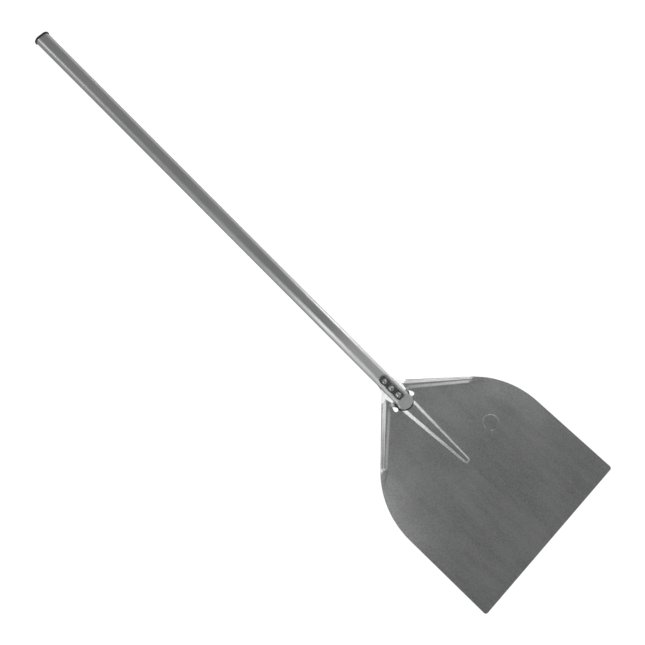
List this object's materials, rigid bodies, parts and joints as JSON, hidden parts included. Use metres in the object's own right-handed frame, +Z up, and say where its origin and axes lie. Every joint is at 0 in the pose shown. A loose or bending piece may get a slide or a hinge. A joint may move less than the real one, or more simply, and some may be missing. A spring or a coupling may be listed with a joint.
{
  "type": "pizza peel",
  "caption": "Long-handled aluminium pizza peel: straight-fronted pressed sheet blade with stiffening beads and rib, riveted to a rising flat-oval tube handle with a plugged end.",
  "frame": {"origin": "on the flat underside of the blade, on the centre line, where the rear shoulders begin, 180 mm behind the front edge", "axes": "+X along the peel towards the straight front edge, +Y to the left, +Z up from the underside to the side that carries the food"},
  "size_m": [1.3552, 0.36, 0.1435],
  "materials": {
    "head_sheet": "fine matte",
    "handle_tube": "satin, drawn lengthwise",
    "end_plug": "matte",
    "rivets": "bright"
  },
  "bodies": {
    "root": {"head_sheet": "head_sheet", "handle_tube": "handle_tube", "end_plug": "end_plug", "rivet_rear": "rivets", "rivet_middle": "rivets", "rivet_front": "rivets"}
  },
  "joints": []
}
